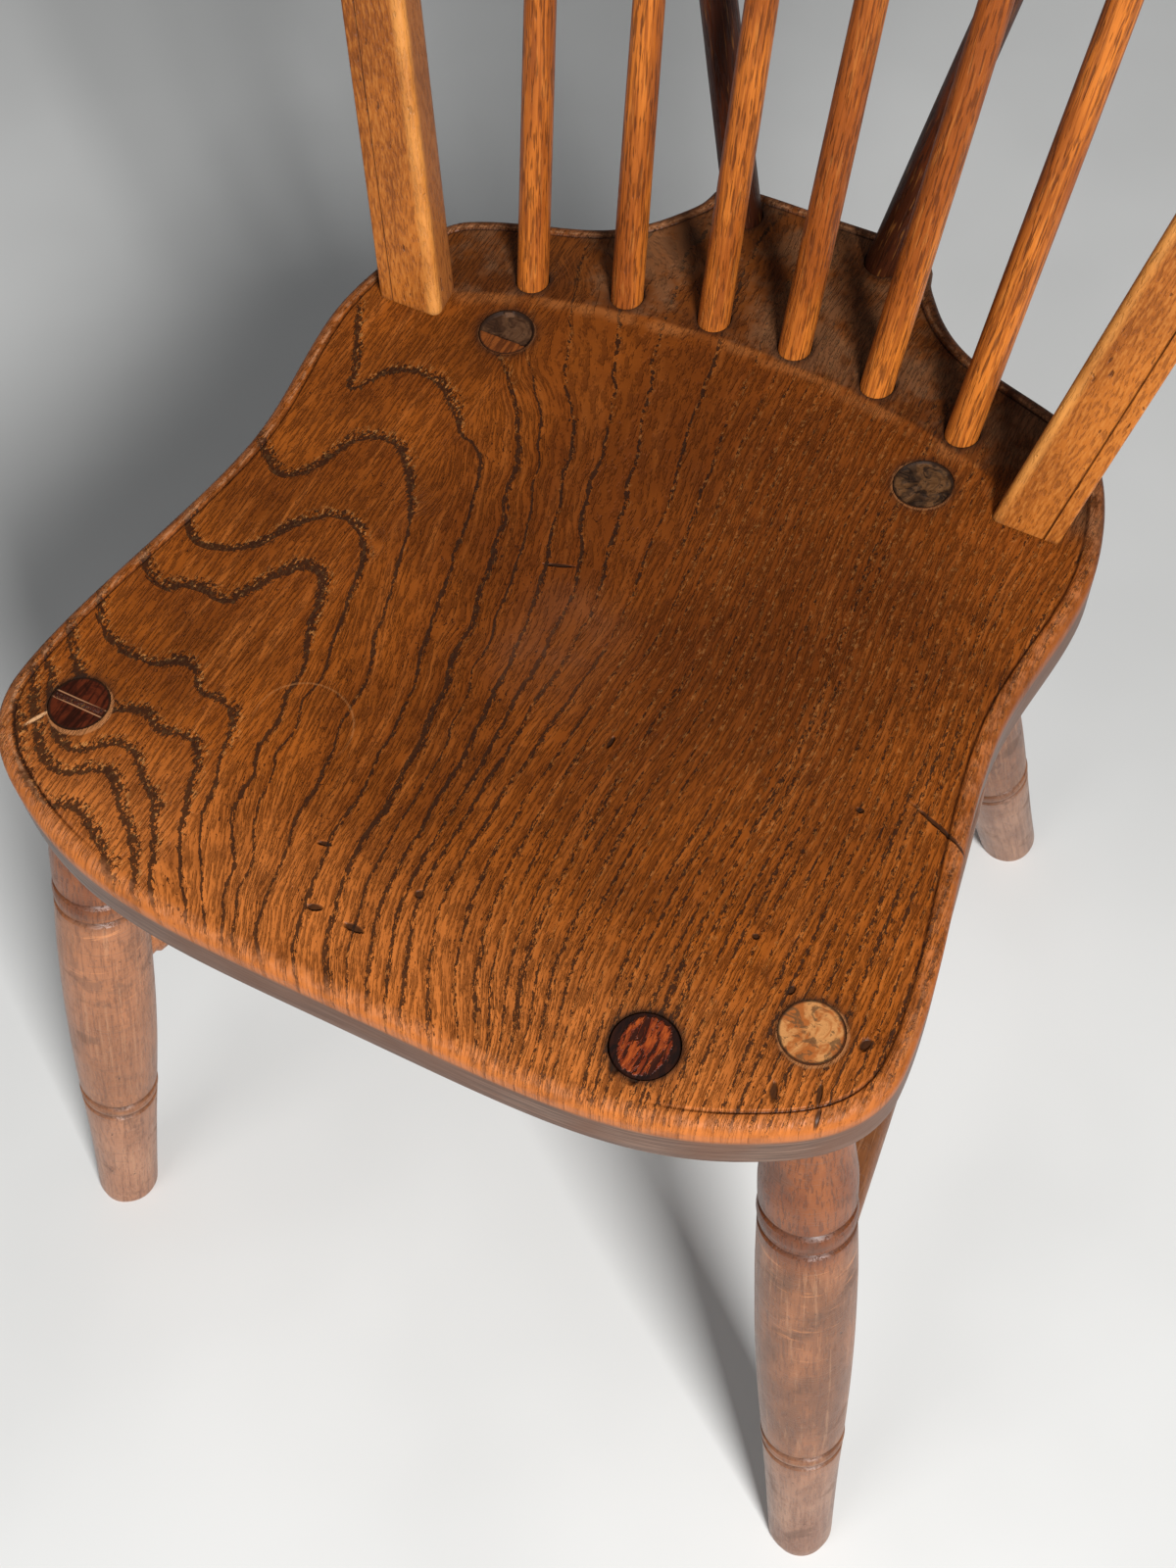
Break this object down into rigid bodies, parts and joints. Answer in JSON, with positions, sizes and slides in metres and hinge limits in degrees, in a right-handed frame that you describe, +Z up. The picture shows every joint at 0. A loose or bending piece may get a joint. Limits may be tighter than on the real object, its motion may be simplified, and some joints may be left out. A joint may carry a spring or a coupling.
{
  "type": "windsor chair",
  "caption": "Worn stick-back wooden side chair with a dished plank seat, a tail at the back carrying braces, splayed turned legs, stretchers, flat posts and a bowed crest rail.",
  "frame": {"origin": "on the floor, under the middle of the chair's width and depth", "axes": "+Z up, +X to the right as seen from the front, -Y towards the front, the way a sitter faces"},
  "size_m": [0.529, 0.5454, 0.8938],
  "materials": {
    "seat_elm": "worn satin varnish over open-grained elm",
    "leg_beech": "rubbed satin finish with scuffs and dark grooves",
    "stick_beech": "satin varnish, darker flecks",
    "post_beech": "satin varnish, honey coloured",
    "brace_beech": "dark stained varnish",
    "patch_wood": "dark red-brown with a black rim",
    "wedge_wood": "dark end wood"
  },
  "bodies": {
    "root": {"brace_left": "brace_beech", "brace_right": "brace_beech", "crest_rail": "post_beech", "cross_stretcher": "leg_beech", "leg_back_left": "leg_beech", "leg_back_right": "leg_beech", "leg_front_left": "leg_beech", "leg_front_right": "leg_beech", "post_left": "post_beech", "post_right": "post_beech", "round_patch": "patch_wood", "seat": "seat_elm", "side_stretcher_left": "leg_beech", "side_stretcher_right": "leg_beech", "stick_1": "stick_beech", "stick_2": "stick_beech", "stick_3": "stick_beech", "stick_4": "stick_beech", "stick_5": "stick_beech", "stick_6": "stick_beech", "wedge_front_left": "wedge_wood"}
  },
  "joints": []
}
